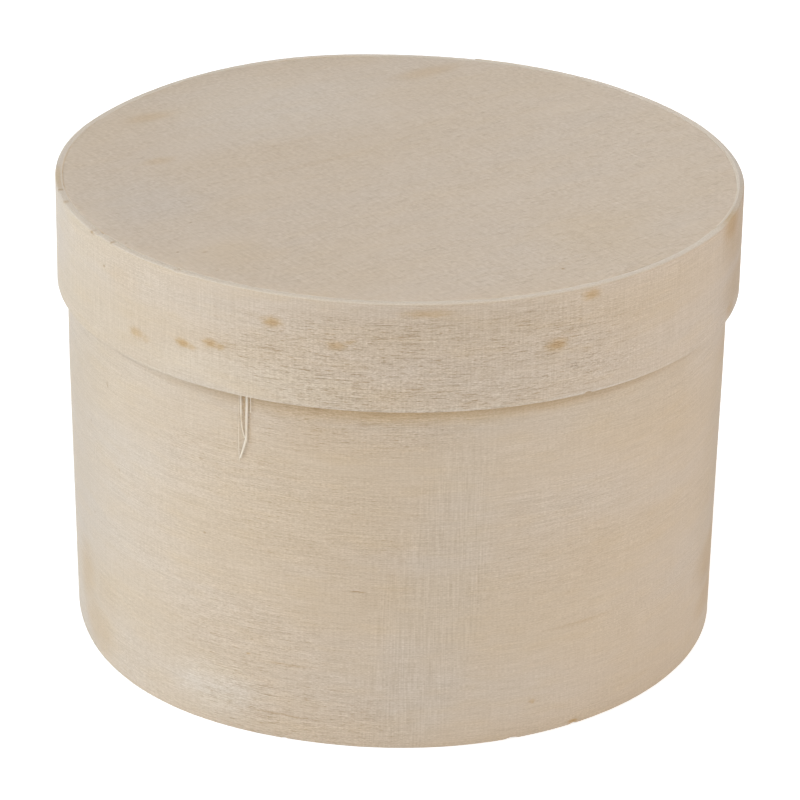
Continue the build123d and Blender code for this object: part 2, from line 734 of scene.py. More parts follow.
@dataclass(frozen=True)
class Settle:
    """How a whole half sits: leaning a little, and no longer quite round.

    Attributes:
        low: The low level.
        high: The high level.
        low_flare: How far the wall stands out of its true radius at the low level.
        high_flare: How far it stands out at the high level.
        lean: Rise per millimetre towards -X, from leaning to the right.
        shift: How far the half sits towards +X.
        pushes: Where the wall is out of round.
    """

    low: float
    high: float
    low_flare: float = 0.0
    high_flare: float = 0.0
    lean: float = 0.0
    shift: float = 0.0
    pushes: tuple[Push, ...] = ()

    def flare(self, azimuth: float, height: float) -> float:
        """How far the wall stands out of its true radius.

        Args:
            azimuth: Where on the ring.
            height: At what level.

        Returns:
            The offset in millimetres.
        """
        share = between(height, self.low, self.high)
        even = self.low_flare + (self.high_flare - self.low_flare) * share
        return even + sum(push.at(azimuth, share) for push in self.pushes)

    def moved(self, point: Vector) -> Vector:
        """A point after the half has leaned and shifted."""
        return Vector((point.x + self.shift, point.y, point.z - self.lean * point.x))


@dataclass(frozen=True)
class Hoop:
    """A strip of veneer bent into a ring, whose pared outer end lies over its pared inner end.

    Attributes:
        outer_radius: The outside of a single thickness.
        bottom: Level of the lower edge.
        width: Width of the strip.
        lap_length: How far the two ends lie over each other.
        lap_azimuth: The middle of that lap.
        settle: How the half sits.
        seed: Which unevenness it takes.
        nicks: Where its edges are broken out.
        thickness: Thickness of the veneer.
        feather: Thickness left at a pared end.
        step: Length over which the strip climbs on to the lap.
        film: Thickness of the glue in the lap.
        ease: Rounding of the upper cut edge, outside.
        foot_ease: Rounding of the lower one, outside.
        inner_ease: Rounding of both, inside.
        skew: Rise of the lower edge per millimetre towards +X.
        rows: Rows of faces up each side.
        ragged_from: Where its raggedness starts, as a share of the way from the middle to an edge.
        nicked_from: Where its nicks start.
    """

    outer_radius: float
    bottom: float
    width: float
    lap_length: float
    lap_azimuth: float
    settle: Settle
    seed: float
    nicks: tuple[Nick, ...] = ()
    thickness: float = 1.0
    feather: float = 0.15
    step: float = 6.0
    film: float = 0.1
    ease: float = 0.12
    foot_ease: float = 0.07
    inner_ease: float = 0.05
    skew: float = 0.0
    rows: int = 24
    ragged_from: float = 0.97
    nicked_from: float = 0.85

    @property
    def inner_radius(self) -> float:
        """The inside of a single thickness."""
        return self.outer_radius - self.thickness

    @property
    def lift(self) -> float:
        """How far the lap stands out from the rest of the ring."""
        return self.feather + self.film

    @property
    def start(self) -> float:
        """Azimuth at which the strip starts, inside the lap."""
        return self.lap_azimuth - self.sweep(self.lap_length) / 2

    @property
    def stop(self) -> float:
        """Azimuth at which the lap ends."""
        return self.lap_azimuth + self.sweep(self.lap_length) / 2

    def sweep(self, length: float) -> float:
        """The angle that a length takes up along the strip."""
        return math.degrees(length / (self.outer_radius - self.thickness / 2))

    @property
    def pared(self) -> float:
        """How much of its thickness is pared off at an end."""
        return self.thickness - self.feather

    def raised(self, azimuth: float) -> float:
        """How far the strip has climbed on to its lap at an azimuth, one turn on."""
        return self.lift * between(azimuth - FULL_TURN, self.start - self.sweep(self.step), self.start)

    def outside(self, azimuth: float) -> float:
        """Radius of the outer face, at an azimuth from the strip's start to a turn past the lap."""
        pared = self.pared * (1 - between(azimuth, self.start, self.stop))
        return self.outer_radius - pared + self.raised(azimuth)

    def inside(self, azimuth: float) -> float:
        """Radius of the inner face, at an azimuth from the strip's start to a turn past the lap."""
        pared = self.pared * between(azimuth - FULL_TURN, self.start, self.stop)
        return self.inner_radius + self.raised(azimuth) + pared

    def stations(self, first: float, last: float) -> list[float]:
        """Azimuths at which the strip is drawn, closer together at its ends and its nicks.

        Args:
            first: Where the run starts.
            last: Where it ends.

        Returns:
            The azimuths, in order.
        """
        coarse, fine = 1.0, 0.12
        end_reach, nick_reach = 1.0, 1.5
        count = math.ceil((last - first) / coarse)
        found = {first + (last - first) * i / count for i in range(count + 1)}
        spots = [(first, end_reach), (last, end_reach)] + [(nick.azimuth, nick_reach) for nick in self.nicks]
        for centre, reach in spots:
            steps = round(reach / fine)
            near = [centre + fine * k for k in range(-steps, steps + 1)]
            found.update(azimuth for azimuth in near if first < azimuth < last)
        return sorted(found)

    def rounded(self, ease: float) -> list[Pair]:
        """A cut edge from its outer to its inner side.

        Args:
            ease: Rounding of its outer side.

        Returns:
            Drops from the edge, with shares of the thickness from the inside.
        """
        outer = [(drop, 1 - inset / self.thickness) for drop, inset in rounding(ease, CORNER_ANGLES)]
        inner = [(drop, inset / self.thickness) for drop, inset in rounding(self.inner_ease, CORNER_ANGLES)]
        return outer + [(0.0, 0.5)] + inner[::-1]

    def profile(self) -> list[Pair]:
        """Draws the section of the strip.

        Returns:
            Heights above the lower edge, with shares of the thickness from the inside.
        """
        span = self.width - self.ease - self.foot_ease
        climb = [self.foot_ease + span * i / self.rows for i in range(self.rows + 1)]
        cap = [(self.width - drop, share) for drop, share in self.rounded(self.ease)]
        foot = [(drop, 1 - share) for drop, share in self.rounded(self.foot_ease)]
        outer, inner = [(height, 1.0) for height in climb], [(height, 0.0) for height in reversed(climb)]
        return outer + cap + inner + foot

    def level(self, azimuth: float, height: float, share: float) -> float:
        """Height in the frame of a point of the section, with the cut edges' waves and nicks.

        Args:
            azimuth: Where on the ring.
            height: Height above the lower edge.
            share: Share of the thickness, from the inside.

        Returns:
            The level in millimetres.
        """
        wave = Ripple(0.16, 22.0, 1.0, self.seed)
        rag = Ripple(0.03, 0.9, 1.0, self.seed + 9)
        up = between(height, self.width / 2, self.width)
        down = between(height, self.width / 2, 0.0)
        spot = polar(self.outer_radius + share, azimuth, 0.0)
        shift = wave.at(spot) * up**4 + self.skew * spot.x * down**2
        for nick in self.nicks:
            cut = nick.cut(azimuth % FULL_TURN)
            near = between(up if nick.upper else down, self.nicked_from, 1.0)
            shift += -cut * near if nick.upper else cut * near
        edge_rag = rag.at(spot) * (between(up, self.ragged_from, 1.0) - between(down, self.ragged_from, 1.0))
        return self.bottom + height + shift + edge_rag

    def sheet(self, name: str, ends: Pair, low: Radius, high: Radius) -> Piece:
        """Draws a sheet bent round the axis between two faces.

        Args:
            name: What the piece is called.
            ends: Azimuths of its two ends.
            low: Radius of its inner face by azimuth.
            high: Radius of its outer face by azimuth.

        Returns:
            The piece.
        """
        skin = Skin(name)
        section = self.profile()
        warp = Ripple(0.07, 30.0, 26.0, self.seed + 4)
        rings = []
        for azimuth in self.stations(*ends):
            inner, outer = low(azimuth), high(azimuth)
            ring = []
            for height, share in section:
                level = self.level(azimuth, height, share)
                radius = inner + (outer - inner) * share
                radius += self.settle.flare(azimuth, level) + warp.at(polar(radius, azimuth, level))
                place = Vector((around(azimuth), level, radius - self.outer_radius))
                ring.append(skin.point(self.settle.moved(polar(radius, azimuth, level)), place))
            rings.append(ring)
        skin.tube(rings)
        self.cap(skin, rings[0], False)
        self.cap(skin, rings[-1], True)
        return skin.built()

    def cap(self, skin: Skin, ring: list[int], far: bool) -> None:
        """Closes an end of the sheet with a ladder of faces from its outer to its inner side.

        Args:
            skin: The mesh.
            ring: The points of the end's section.
            far: Whether it is the far end, which faces the other way.
        """
        count = self.rows + 1
        half = len(ring) // 2
        outer, head = ring[:count], ring[count:half]
        inner, foot = ring[half : half + count][::-1], ring[half + count :]
        faces = [(outer[i], inner[i], inner[i + 1], outer[i + 1]) for i in range(self.rows)]
        faces += [(inner[-1], *reversed(head), outer[-1]), (outer[0], *reversed(foot), inner[0])]
        skin.faces += [face if far else face[::-1] for face in faces]

    def strip(self, name: str) -> Piece:
        """Draws the bent strip and returns it."""
        return self.sheet(name, (self.start, self.stop + FULL_TURN), self.inside, self.outside)

    def lap_film(self, name: str) -> Piece:
        """Draws the film of glue between the lap's two pared faces and returns it."""
        ends = (self.start, self.stop)
        return self.sheet(name, ends, self.outside, lambda azimuth: self.inside(azimuth + FULL_TURN))


@dataclass(frozen=True)
class Lathe:
    """A round piece, drawn as a profile turned about the axis.

    Attributes:
        profile: The profile's points, each a radius and a height.
        settle: How the half sits.
        ripples: Unevenness of its surface, up and down.
        ragged: Unevenness of its radius.
        closed: Whether the profile runs back to its own start.
        grain_azimuth: Direction of the grain.
        segments: Faces round the piece.
    """

    profile: Sequence[Pair]
    settle: Settle
    ripples: Sequence[Ripple]
    ragged: Ripple
    closed: bool
    grain_azimuth: float = 0.0
    segments: int = 480

    @property
    def widest(self) -> float:
        """The largest radius of the profile."""
        return max(radius for radius, _ in self.profile)

    def placed(self, radius: float, height: float, azimuth: float) -> Vector:
        """Where a point of the profile comes to lie.

        Args:
            radius: Its radius.
            height: Its height.
            azimuth: Where on the ring.

        Returns:
            The point, before the half leans.
        """
        rough = self.ragged.at(polar(radius, azimuth, 0.0)) + self.settle.flare(azimuth, height)
        spot = polar(radius + rough * between(radius, 0.0, self.widest), azimuth, height)
        spot.z += sum(ripple.at(spot) for ripple in self.ripples)
        return spot

    def built(self, name: str) -> Piece:
        """Draws the piece.

        Args:
            name: What it is called.

        Returns:
            The piece.
        """
        skin = Skin(name)
        turn = Matrix.Rotation(-math.radians(self.grain_azimuth), 3, "Z")
        rows = []
        for radius, height in self.profile:
            count = self.segments if radius > 0 else 1
            spots = [self.placed(radius, height, FULL_TURN * k / count) for k in range(count)]
            rows.append([skin.point(self.settle.moved(spot), turn @ spot) for spot in spots])
        if self.closed:
            rows.append(rows[0])
        for one, other in zip(rows, rows[1:]):
            if len(one) == 1:
                skin.faces += [(b, a, one[0]) for a, b in zip(other, other[1:] + other[:1])]
            elif len(other) == 1:
                skin.faces += [(other[0], a, b) for a, b in zip(one, one[1:] + one[:1])]
            else:
                skin.join(other, one)
        return skin.built()


@dataclass(frozen=True)
class Board:
    """A flat round piece of wood with eased edges.

    Attributes:
        radius: Its radius.
        bottom: Level of its lower face.
        top: Level of its upper face.
        settle: How the half sits.
        seed: Which unevenness it takes.
        grain_azimuth: Direction of the grain.
        ease: Rounding of its edges.
        rings: Rings of faces from the centre to the edge.
    """

    radius: float
    bottom: float
    top: float
    settle: Settle
    seed: float
    grain_azimuth: float
    ease: float = 0.12
    rings: int = 20

    def built(self, name: str) -> Piece:
        """Draws the board.

        Args:
            name: What it is called.

        Returns:
            The board.
        """
        flat = [((self.radius - self.ease) * i / self.rings, self.top) for i in range(self.rings + 1)]
        corner = rounding(self.ease, CORNER_ANGLES)
        upper = flat + [(self.radius - inset, self.top - drop) for inset, drop in corner]
        lower = [(radius, self.bottom + self.top - height) for radius, height in reversed(upper)]
        ripples = (Ripple(0.05, 34.0, 9.0, self.seed), Ripple(0.012, 5.0, 9.0, self.seed + 2))
        ragged = Ripple(0.05, 1.6, 1.0, self.seed + 3)
        return Lathe(upper + lower, self.settle, ripples, ragged, False, self.grain_azimuth).built(name)


@dataclass(frozen=True)
class GlueRing:
    """The glue round a board, with its bead in the corner inside.

    Attributes:
        wall_radius: Inside of the strip's wall.
        gap: Width of the joint between board and strip.
        outer_face: Level of the board's outer face.
        inner_face: Level of its inner face.
        bead: Size of the bead.
        settle: How the half sits.
        seed: Which unevenness it takes.
        sunk: How far the glue lies below the outer face.
    """

    wall_radius: float
    gap: float
    outer_face: float
    inner_face: float
    bead: float
    settle: Settle
    seed: float
    sunk: float = 0.07

    def built(self, name: str) -> Piece:
        """Draws the ring.

        Args:
            name: What it is called.

        Returns:
            The ring.
        """
        wall, edge = self.wall_radius, self.wall_radius - self.gap
        inward = math.copysign(1.0, self.inner_face - self.outer_face)
        face = self.outer_face + self.sunk * inward
        middle = (self.outer_face + self.inner_face) / 2
        bead = rounding(self.bead, BEAD_ANGLES)
        profile = [(edge, self.inner_face), (edge, middle), (edge, face), (wall, face), (wall, middle)]
        profile += [(wall - inset, self.inner_face + inward * rise) for rise, inset in bead]
        if inward > 0:
            profile.reverse()
        ripples = (Ripple(0.05, 2.6, 9.0, self.seed),)
        ragged = Ripple(0.06 if self.bead > self.gap else 0.02, 3.0, 1.0, self.seed + 1)
        return Lathe(profile, self.settle, ripples, ragged, True).built(name)


@dataclass(frozen=True)
class Strand:
    """One length of the loose thread.

    Attributes:
        route: Its points, each an azimuth and a height.
        width: Its breadth at its start.
        tip: Its breadth at its end.
        off: How far it stands off the wall.
        smoothings: How often its corners are cut off.
    """

    route: tuple[Pair, ...]
    width: float
    tip: float
    off: float = 0.0
    smoothings: int = 3

    def smoothed(self) -> list[Vector]:
        """Cuts off the corners between its points.

        Returns:
            The points of a smoother line, in millimetres along, up and off the wall.
        """
        points = [Vector((around(azimuth), height, self.off)) for azimuth, height in self.route]
        for _ in range(self.smoothings):
            cut = [points[0]]
            for one, other in zip(points, points[1:]):
                cut += [one.lerp(other, 0.25), one.lerp(other, 0.75)]
            points = cut + [points[-1]]
        return points


@dataclass(frozen=True)
class LooseThread:
    """The loop of pale thread that hangs from under the lid's lower edge.

    Attributes:
        wall_radius: Radius that the thread hangs at.
        strands: Its lengths.
        flatness: Thickness of a strand as a share of its breadth.
        sides: Faces round a strand.
    """

    wall_radius: float
    strands: tuple[Strand, ...]
    flatness: float = 0.45
    sides: int = 10

    def ring(self, skin: Skin, middle: Vector, run: Vector, breadth: float) -> list[int]:
        """Adds the flat round section of a strand.

        Args:
            skin: The mesh.
            middle: The section's middle, along, up and off the wall.
            run: The way that the strand runs there.
            breadth: The section's breadth.

        Returns:
            The numbers of its points.
        """
        side = Vector((run.y, -run.x, 0.0)).normalized() * breadth / 2
        out = Vector((0.0, 0.0, self.flatness * breadth / 2))
        ring = []
        for k in range(self.sides):
            turn = math.tau * k / self.sides
            place = middle + side * math.cos(turn) + out * math.sin(turn)
            azimuth = FRONT + math.degrees(place.x / UNROLLED_RADIUS)
            ring.append(skin.point(polar(self.wall_radius + place.z, azimuth, place.y), place))
        return ring

    def built(self, name: str) -> Piece:
        """Draws the thread.

        Args:
            name: What it is called.

        Returns:
            The thread, all strands in one piece.
        """
        skin = Skin(name)
        for strand in self.strands:
            points = strand.smoothed()
            last = len(points) - 1
            rings = []
            for i, middle in enumerate(points):
                run = points[min(i + 1, last)] - points[max(i - 1, 0)]
                breadth = strand.width + (strand.tip - strand.width) * i / last
                rings.append(self.ring(skin, middle, run, breadth))
            skin.tube(rings)
            skin.faces += [tuple(reversed(rings[0])), tuple(rings[-1])]
        return skin.built()


@dataclass(frozen=True)
class BoxHalf:
    """What the body and the lid have in common: a lapped hoop with a board glued into it.

    Attributes:
        half: Which of the two it is.
        lap_length: Length of the hoop's lap.
        lap_azimuth: Middle of that lap.
        bead: Size of the glue bead inside.
        board_azimuth: Direction of the board's grain.
        colour: The strip's linear red, green and blue.
        board_colour: The board's.
        bead_colour: The bead's.
        lap_colour: The glue's in the lap.
        joint: Width of the glued joint round the board.
    """

    half: Half
    lap_length: float
    lap_azimuth: float
    bead: float
    board_azimuth: float
    colour: Colour
    board_colour: Colour
    bead_colour: Colour
    lap_colour: Colour = (0.72, 0.65, 0.52)
    joint: float = 0.15

    def dress(self, piece: Piece, material: Material, slot: Slot, node: str | None) -> None:
        """Gives a piece its finish and its place in the box, and reports it.

        Args:
            piece: The piece.
            material: Its finish.
            slot: The finish that the record names for it.
            node: The construction node that it stands for, if there is one.
        """
        piece.data.materials.clear()
        piece.data.materials.append(material)
        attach(piece, self.half.value)
        if node:
            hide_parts(node)
        LOG.info("%s rides on the %s with finish %s", piece.name, self.half.value, slot.value)


@dataclass(frozen=True)
class BoxBody(BoxHalf):
    """The lower half: a tall hoop, its bottom board and the glue that holds them."""

    half: Half = Half.BOX
    lap_length: float = 26.0
    lap_azimuth: float = 97.0
    bead: float = 1.2
    board_azimuth: float = 20.0
    colour: Colour = (0.627, 0.530, 0.423)
    board_colour: Colour = (0.62, 0.53, 0.42)
    bead_colour: Colour = (0.76, 0.71, 0.60)

    def settle(self) -> Settle:
        """How the body sits: a little wider than true, and pushed out at its base in front on the left."""
        pushes = (Push(230.0, 32.0, 0.6, 0.0), Push(190.0, 20.0, -0.3, 0.1))
        return Settle(low=0.0, high=40.0, low_flare=-0.08, high_flare=0.12, pushes=pushes)

    def hoop(self) -> Hoop:
        """Measures the hoop on the construction model.

        Returns:
            The hoop.
        """
        low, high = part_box("body_strip")
        nicks = (Nick(291.0, 2.2, 0.2), Nick(302.8, 1.0, 0.14), Nick(252.0, 0.8, 0.1))
        size = (-low.y / MM, low.z / MM, (high.z - low.z) / MM)
        return Hoop(*size, self.lap_length, self.lap_azimuth, self.settle(), 3.0, nicks, rows=44)

    def marks(self) -> tuple[Mark, ...]:
        """The stains of the body's strip, with painted shade under the lid's edge, between the thread's
        strands and down its sides, and a painted sheen in front.
        """
        return listed(unrolled, {
            Tone.KNOT: (
                (245.5, 12.8, 0.7, 0.35, 0.8), (302.8, 0.5, 1.2, 0.5, 0.9),
                # These two dark streaks are painted shade on the wall between the loose thread's strands.
                (244.7, 51.5, 0.3, 3.5, 0.4, 0.4), (245.75, 50.0, 0.16, 4.5, 0.3, 0.4),
            ),
            Tone.RUST: (
                (200.5, 11.0, 6.0, 8.0, 0.55, 0.15, -20.0), (206.0, 4.5, 9.0, 5.5, 0.42, 0.3, -6.0),
                # The rusty patches at 351 to 356 degrees are painted warm shade down the right side.
                (294.5, 5.5, 0.9, 0.5, 0.8), (353.0, 13.0, 18.0, 5.5, 0.7, 0.4),
                (351.0, 6.0, 15.0, 3.5, 0.6, 0.4), (356.0, 47.0, 16.0, 5.0, 0.4, 0.3),
                (210.5, 10.5, 5.0, 5.0, 0.17, 0.3),
            ),
            Tone.BROWN: (
                (252.5, 12.1, 6.5, 0.35, 0.6, 0.15, 2.0), (303.5, 16.7, 9.0, 0.5, 0.4),
                # The brown band at 307 degrees just under the lid's edge and the brown patch at 345 degrees
                # low on the right are painted shade.
                (307.0, 53.2, 30.0, 1.8, 0.4, 0.4), (112.8, 34.0, 0.4, 40.0, 0.8, 0.4),
                (345.0, 9.5, 6.0, 4.0, 0.19, 0.3), (255.0, 47.9, 6.0, 3.4, 0.14, 0.3),
            ),
            Tone.PORE: (
                (251.5, 3.8, 7.5, 0.3, 0.5), (264.2, 25.1, 1.6, 0.2, 0.8), (212.4, 46.1, 0.3, 0.9, 0.5),
                (237.0, 30.2, 0.4, 0.3, 0.6), (205.4, 38.0, 0.3, 0.3, 0.5), (216.0, 33.8, 0.3, 0.3, 0.5),
                (205.9, 23.2, 0.3, 0.4, 0.6),
            ),
            # The first amber band, just under the lid's edge, is painted warm shade.
            Tone.AMBER: ((270.0, 53.4, 52.0, 3.2, 1.0, 0.1), (263.0, 48.0, 14.0, 4.0, 0.12, 0.3)),
            Tone.WARM: ((316.0, 48.0, 20.0, 9.0, 0.5, 0.3), (352.0, 30.0, 20.0, 34.0, 0.55, 0.3)),
            # Painted shade down the left and right sides of the body.
            Tone.PAINTED_SHADE: ((188.0, 30.0, 28.0, 70.0, 0.62), (358.0, 35.0, 24.0, 60.0, 0.8, 0.2)),
            # A slanted greyer band in front, where the knife lines also stand out: painted sheen.
            Tone.GREY: ((277.0, 20.0, 8.0, 34.0, 0.5, 0.5, -12.0),),
            Tone.PALE: ((226.0, 53.3, 13.0, 1.4, 0.7, 0.4), (239.0, 6.0, 10.0, 6.0, 0.9, 0.3)),
        })

    def open_zones(self) -> tuple[Mark, ...]:
        """The zones of the strip in which its pores are open."""
        return listed(unrolled, {Tone.PORE: (
            (262.0, 50.5, 26.0, 7.0, 0.55, 0.4), (243.0, 43.0, 20.0, 8.0, 0.4, 0.4),
            (254.0, 4.0, 22.0, 9.0, 0.75, 0.4), (247.0, 14.0, 20.0, 12.0, 0.5, 0.4),
            (259.0, 33.0, 22.0, 16.0, 0.35, 0.4), (300.0, 30.0, 22.0, 12.0, 0.3, 0.4),
        )})

    def veneer(self) -> Material:
        """Writes the strip's finish, whose knife lines stand out in a slanted band in front.

        Returns:
            The material.
        """
        band = Mark(*unrolled(276.0, 22.0), 9.0, 34.0, core=0.6, lean=-12.0)
        return RawWood("body veneer", self.colour, 2.0, self.marks(), fleck=0.56, fleck_size=(0.45, 0.11),
                       pore_length=1.4, pore_depth=0.8, fuzz=2.6, knife=0.85, drift=0.5,
                       open_zones=self.open_zones(), combed_zones=(band,), cut=True).material()

    def build(self) -> None:
        """Builds and dresses the body's four pieces."""
        hoop, settle = self.hoop(), self.settle()
        glue = DriedGlue("body glue", self.lap_colour, 5.0).material()
        self.dress(hoop.strip("body_hoop"), self.veneer(), Slot.BODY_VENEER, "body_strip")
        self.dress(hoop.lap_film("body_lap"), glue, Slot.LAP_GLUE, "body_lap_glue")

        low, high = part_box("bottom_disc")
        board = Board(high.x / MM, low.z / MM, high.z / MM, settle, 8.0, self.board_azimuth)
        wood = RawWood("bottom board", self.board_colour, 11.0, pore_length=2.4).material()
        self.dress(board.built("bottom_board"), wood, Slot.BOTTOM_WOOD, "bottom_disc")

        ring = GlueRing(hoop.inner_radius, self.joint, board.bottom, board.top, self.bead, settle, 13.0)
        bead = DriedGlue("bottom glue", self.bead_colour, 7.0).material()
        self.dress(ring.built("bottom_glue_ring"), bead, Slot.BEAD_GLUE, "bottom_disc_glue")


@dataclass(frozen=True)
class Lid(BoxHalf):
    """The upper half: a low hoop, its top board, the glue and a loose thread.

    Attributes:
        board_ease: Rounding of the top board's edges.
        sunk: How far the glue lies below the top.
        overhang: How far the strip's lower edge hangs below its true level.
        thread_radius: Radius at which the thread hangs in front of the body's wall.
        thread_colour: The thread's linear red, green and blue.
    """

    half: Half = Half.LID
    lap_length: float = 22.0
    lap_azimuth: float = 64.0
    bead: float = 0.15
    board_azimuth: float = 36.0
    colour: Colour = (0.617, 0.523, 0.421)
    board_colour: Colour = (0.619, 0.520, 0.417)
    bead_colour: Colour = (0.70, 0.61, 0.50)
    board_ease: float = 0.05
    sunk: float = 0.01
    overhang: float = 0.08
    thread_radius: float = 49.3
    thread_colour: Colour = (0.80, 0.72, 0.60)

    def settle(self) -> Settle:
        """Says how the lid sits: wider than true, and pushed out at the back on the left.

        Returns:
            Its settling.
        """
        pushes = (Push(116.0, 28.0, 0.1, 0.55), Push(150.0, 25.0, 0.0, -0.45), Push(42.0, 60.0, 0.0, -0.6))
        return Settle(low=54.0, high=70.0, low_flare=0.2, high_flare=0.12,
                      lean=0.0015, shift=0.1, pushes=pushes)

    def hoop(self) -> Hoop:
        """Measures the hoop on the construction model, and adds its overhang.

        Returns:
            The hoop.
        """
        low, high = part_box("lid_strip")
        nicks = (Nick(301.5, 1.4, 0.25), Nick(233.0, 1.2, 0.15, True), Nick(213.0, 1.0, 0.12, True))
        size = (-low.y / MM, low.z / MM - self.overhang, (high.z - low.z) / MM + self.overhang)
        lap = (self.lap_length, self.lap_azimuth)
        return Hoop(*size, *lap, self.settle(), 21.0, nicks, ease=0.2, foot_ease=0.05, skew=0.002, rows=14)

    def marks(self) -> tuple[Mark, ...]:
        """The knots and stains of the lid's strip, with painted shade down its sides and across its front,
        and a painted highlight along its lower corner.

        Returns:
            Its marks.
        """
        knots = (
            (223.9, 58.3, 0.62, 2.3, 0.5), (234.2, 59.5, 0.95, 1.9, 0.75), (239.6, 60.7, 0.85, 1.9, 0.9),
            (250.3, 65.8, 0.88, 2.3, 0.0), (260.5, 63.4, 0.66, 2.0, 0.0), (295.5, 62.3, 0.85, 2.5, 0.0),
            (301.5, 68.8, 0.8, 2.2, 0.0),
        )
        stains = listed(unrolled, {
            Tone.KNOT: (
                (274.0, 68.6, 2.4, 0.35, 0.2, 0.15, 1.5), (340.2, 69.0, 5.6, 3.2, 0.85),
                (341.7, 55.4, 3.4, 1.5, 0.6),
            ),
            Tone.RUST: (
                (262.6, 64.1, 1.5, 0.5, 0.65, 0.15, 14.0), (274.3, 68.6, 4.8, 0.95, 0.6, 0.3, 1.5),
                # The rusty patches at 350 and 353 degrees are painted warm shade down the right side.
                (350.0, 66.0, 15.0, 6.0, 0.7, 0.4), (353.0, 58.5, 18.0, 5.0, 0.8, 0.4),
                (187.0, 70.0, 6.0, 0.4, 0.7, 0.4),
            ),
            Tone.BROWN: ((198.1, 70.0, 0.8, 0.35, 0.9),),
            Tone.PORE: (
                (192.7, 70.0, 0.5, 0.35, 0.7), (211.5, 69.7, 0.7, 0.4, 0.8), (217.3, 70.0, 0.45, 0.3, 0.7),
                (215.3, 65.8, 0.5, 0.3, 0.8),
            ),
            Tone.AMBER: ((221.0, 65.3, 5.0, 3.0, 0.22, 0.2),),
            Tone.WARM: ((270.0, 70.15, 80.0, 0.6, 0.25, 0.7),),
            # Painted shade down the sides of the lid's strip, across its front and along the right of its
            # upper edge.
            Tone.PAINTED_SHADE: (
                (357.0, 62.0, 25.0, 30.0, 1.0, 0.35), (186.0, 63.0, 17.0, 18.0, 0.3, 0.5),
                (270.0, 67.0, 34.0, 4.5, 0.12, 0.4), (320.0, 70.15, 44.0, 0.6, 0.15, 0.5),
            ),
            Tone.PALE: (
                # The first pale band, along the lower corner in front, is a painted highlight.
                (270.0, 54.05, 60.0, 0.4, 1.0, 0.5), (246.0, 55.8, 22.0, 5.5, 0.8, 0.4),
                (272.0, 56.8, 34.0, 3.5, 0.15, 0.4), (216.0, 57.0, 8.0, 5.0, 0.15, 0.3),
            ),
        })
        return (*(mark for numbers in knots for mark in knot(*numbers)), *stains)

    def on_board(self, x: float, y: float) -> Pair:
        """A place on the top board, turned into its grain."""
        return tuple(Matrix.Rotation(-math.radians(self.board_azimuth), 2) @ Vector((x, y)))

    def board_marks(self) -> tuple[Mark, ...]:
        """The smudges of the top board."""
        return listed(self.on_board, {
            Tone.RUST: (
                (-38.5, 19.6, 6.0, 2.5, 0.45), (-35.7, 1.1, 4.0, 2.0, 0.4), (4.0, 42.5, 9.0, 3.0, 0.5),
            ),
            Tone.PORE: (
                (22.7, -37.2, 0.5, 0.4, 0.8), (-39.7, -30.2, 0.4, 0.3, 0.8), (-38.0, -30.9, 0.4, 0.3, 0.7),
                (-30.8, -34.0, 0.35, 0.3, 0.7), (-27.0, -33.7, 0.7, 0.4, 0.5), (-29.5, -22.7, 0.3, 0.25, 0.5),
            ),
            Tone.BROWN: (
                (-12.0, 2.0, 17.0, 1.2, 0.18), (-15.0, 11.0, 9.0, 1.0, 0.15), (-24.8, -40.0, 0.7, 0.3, 0.7),
            ),
            Tone.GREY: ((-36.0, -16.0, 14.0, 16.0, 0.8),),
            Tone.PALE: ((-20.0, 26.0, 26.0, 20.0, 0.6),),
            Tone.WARM: ((28.0, -24.0, 14.0, 12.0, 0.55), (-22.0, -34.0, 9.0, 7.0, 0.5)),
        })

    def thread(self) -> LooseThread:
        """Lays the loose thread, as it hangs in front of the body's wall.

        Returns:
            The thread.
        """
        left = ((244.24, 55.5), (244.25, 52.5), (244.3, 49.4), (244.5, 48.0), (244.95, 46.8))
        right = ((245.36, 55.5), (245.36, 52.6), (245.28, 49.6), (245.26, 47.4), (245.2, 46.3))
        leg = ((245.25, 46.8), (244.75, 45.2), (244.15, 43.6))
        wisp = ((243.95, 55.5), (243.9, 50.0), (243.8, 46.0), (243.95, 43.0))
        short = ((246.0, 55.5), (246.0, 53.0), (246.03, 50.9))
        strands = (
            Strand(left, 0.26, 0.2),
            Strand(right, 0.42, 0.34),
            Strand(leg, 0.36, 0.28, off=0.05),
            Strand(wisp, 0.06, 0.12),
            Strand(short, 0.16, 0.1),
        )
        return LooseThread(self.thread_radius, strands)

    def veneer(self) -> Material:
        """Writes the strip's finish, whose pores are open in front.

        Returns:
            The material.
        """
        front = Mark(*unrolled(275.0, 61.0), 41.0, 12.0, core=0.5)
        return RawWood("lid veneer", self.colour, 31.0, self.marks(), fleck=0.54, fleck_size=(0.4, 0.12),
                       pore_length=1.25, pore_depth=0.64, crack_depth=0.6, fuzz=2.2, drift=0.55,
                       open_zones=(front,), cut=True).material()

    def build(self) -> None:
        """Builds and dresses the lid's four pieces and its thread."""
        hoop, settle = self.hoop(), self.settle()
        glue = DriedGlue("lid lap glue", self.lap_colour, 9.0).material()
        self.dress(hoop.strip("lid_hoop"), self.veneer(), Slot.LID_VENEER, "lid_strip")
        self.dress(hoop.lap_film("lid_lap"), glue, Slot.LAP_GLUE, "lid_lap_glue")

        low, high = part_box("lid_disc")
        board = Board(high.x / MM, low.z / MM, high.z / MM, settle, 28.0, self.board_azimuth, self.board_ease)
        wood = RawWood("lid top", self.board_colour, 41.0, self.board_marks(), fleck=0.3,
                       fleck_size=(0.6, 0.7), pore_length=3.0, pore_depth=0.12, crack_depth=0.12,
                       fuzz=0.6, drift=0.3)
        self.dress(board.built("lid_board"), wood.material(), Slot.LID_TOP_WOOD, "lid_disc")

